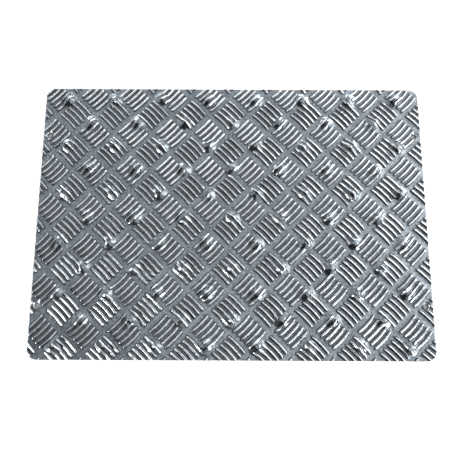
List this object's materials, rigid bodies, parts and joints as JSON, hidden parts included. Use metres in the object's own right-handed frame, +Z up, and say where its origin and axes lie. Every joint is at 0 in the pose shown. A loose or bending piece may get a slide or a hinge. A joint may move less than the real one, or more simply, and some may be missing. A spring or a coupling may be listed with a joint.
{
  "type": "tactile warning plate",
  "caption": "Flat aluminium tread plate with rounded corners, staggered pressed domes felt underfoot and countersunk fixing holes.",
  "frame": {"origin": "under the middle of the sheet, on the plane that it lies on", "axes": "+X along the long side, +Z up out of the walking surface"},
  "size_m": [0.42, 0.297, 0.0082],
  "materials": {
    "mill_aluminium": "mill finish, lightly burnished raised bars"
  },
  "bodies": {
    "root": {"tactile_plate": "mill_aluminium"}
  },
  "joints": []
}
